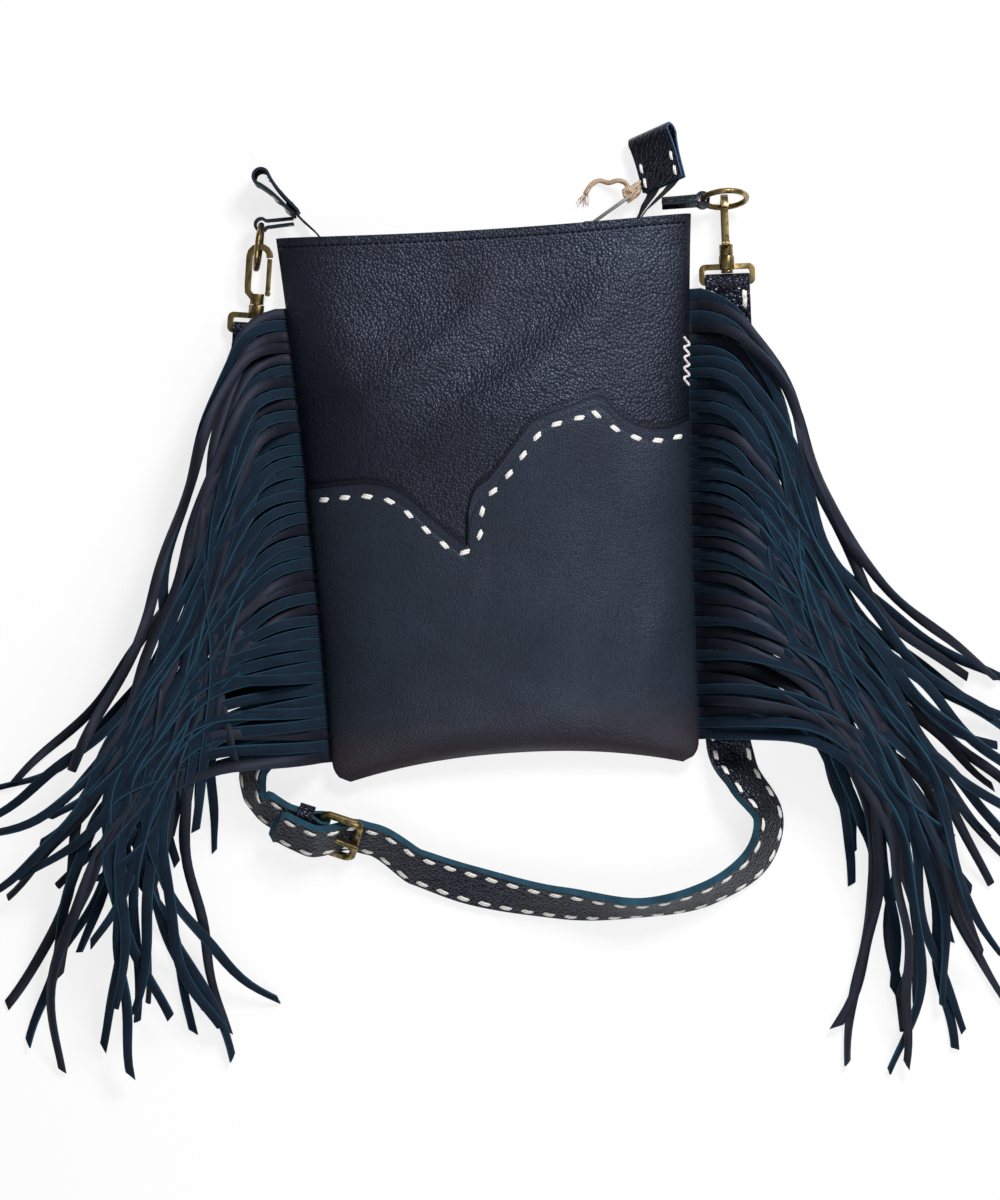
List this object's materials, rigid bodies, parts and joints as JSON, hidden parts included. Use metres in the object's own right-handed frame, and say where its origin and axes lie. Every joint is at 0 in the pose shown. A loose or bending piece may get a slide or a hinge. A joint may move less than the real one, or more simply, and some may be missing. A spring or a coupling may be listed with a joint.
{
  "type": "crossbody bag",
  "caption": "Flat leather crossbody bag with a stepped yoke, a zip top, long suede fringe down both sides, and a stitched strap on swivel snap hooks, a prong buckle and rings.",
  "frame": {"origin": "on the flat of the back panel, at the middle of the bag, where it lies on a table", "axes": "+Z out of the front of the bag, +Y towards its mouth, +X to its right as seen from the front"},
  "size_m": [0.6382, 0.5515, 0.0416],
  "materials": {
    "grain_leather": "pebbled, soft sheen",
    "strap_leather": "smooth, satin",
    "suede": "suede, matt",
    "zip_tape": "woven",
    "zip_metal": "polished",
    "antique_brass": "antique, brushed"
  },
  "bodies": {
    "bag": {"front_panel": "grain_leather", "back_panel": "grain_leather", "yoke_underlay": "grain_leather", "front_overlay": "grain_leather", "fringe_left": "suede", "fringe_right": "suede", "zip_tape_front": "zip_tape", "zip_tape_back": "zip_tape", "zip_teeth_front": "zip_metal", "zip_teeth_back": "zip_metal", "zip_tab_left": "grain_leather", "zip_tab_right": "grain_leather", "ring_tab_left": "grain_leather", "ring_tab_right": "grain_leather", "snap_loop_left": "antique_brass", "snap_loop_right": "antique_brass", "strap_long": "strap_leather", "strap_short": "strap_leather", "buckle_frame": "antique_brass", "strap_keeper": "strap_leather"},
    "slider": {"zip_slider": "zip_metal"},
    "puller": {"zip_puller": "zip_metal"},
    "left_ring": {"ring_left": "antique_brass"},
    "right_ring": {"ring_right": "antique_brass"},
    "left_hook": {"snap_hook_left": "antique_brass"},
    "right_hook": {"snap_hook_right": "antique_brass"},
    "left_gate": {"snap_gate_left": "antique_brass"},
    "right_gate": {"snap_gate_right": "antique_brass"},
    "prong": {"buckle_prong": "antique_brass"}
  },
  "joints": [
    {"name": "zip_slide", "type": "slide", "parent": "bag", "child": "slider", "axis": [1, 0, 0], "range_m": [-0.13, 0]},
    {"name": "puller_swing", "type": "hinge", "parent": "slider", "child": "puller", "pos_m": [0.06, 0.1514, 0.0116], "axis": [0, 0, 1], "range_deg": [-10, 118]},
    {"name": "ring_left_swing", "type": "hinge", "parent": "bag", "child": "left_ring", "pos_m": [-0.1261, 0.1629, 0.0147], "axis": [0, 0, 1], "range_deg": [-2, 2]},
    {"name": "ring_right_swing", "type": "hinge", "parent": "bag", "child": "right_ring", "pos_m": [0.1251, 0.1612, 0.0182], "axis": [0, 0.2921, 0.9564], "range_deg": [-12, 1.5]},
    {"name": "hook_left_swivel", "type": "hinge", "parent": "bag", "child": "left_hook", "pos_m": [-0.132, 0.1185, 0.0056], "axis": [0.1287, 0.9899, 0.0594], "range_deg": [-12, 8]},
    {"name": "hook_right_swivel", "type": "hinge", "parent": "bag", "child": "right_hook", "pos_m": [0.1374, 0.13, 0.0079], "axis": [0.02, 0.9998, 0], "range_deg": [-10, 10]},
    {"name": "gate_left_open", "type": "hinge", "parent": "left_hook", "child": "left_gate", "pos_m": [-0.12543, 0.12409, 0.00598], "axis": [-0.0077, -0.0589, 0.9982], "range_deg": [0, 9], "stiffness_Nm_per_rad": 0.01, "springref_deg": -17.19},
    {"name": "gate_right_open", "type": "hinge", "parent": "right_hook", "child": "right_gate", "pos_m": [0.13753, 0.1364, 0.0137], "axis": [-0.9998, 0.02, 0], "range_deg": [0, 9], "stiffness_Nm_per_rad": 0.01, "springref_deg": -17.19},
    {"name": "prong_lift", "type": "hinge", "parent": "bag", "child": "prong", "pos_m": [-0.11424, -0.18297, 0.0158], "axis": [-0.2354, -0.5981, -0.766], "range_deg": [0, 6]}
  ]
}
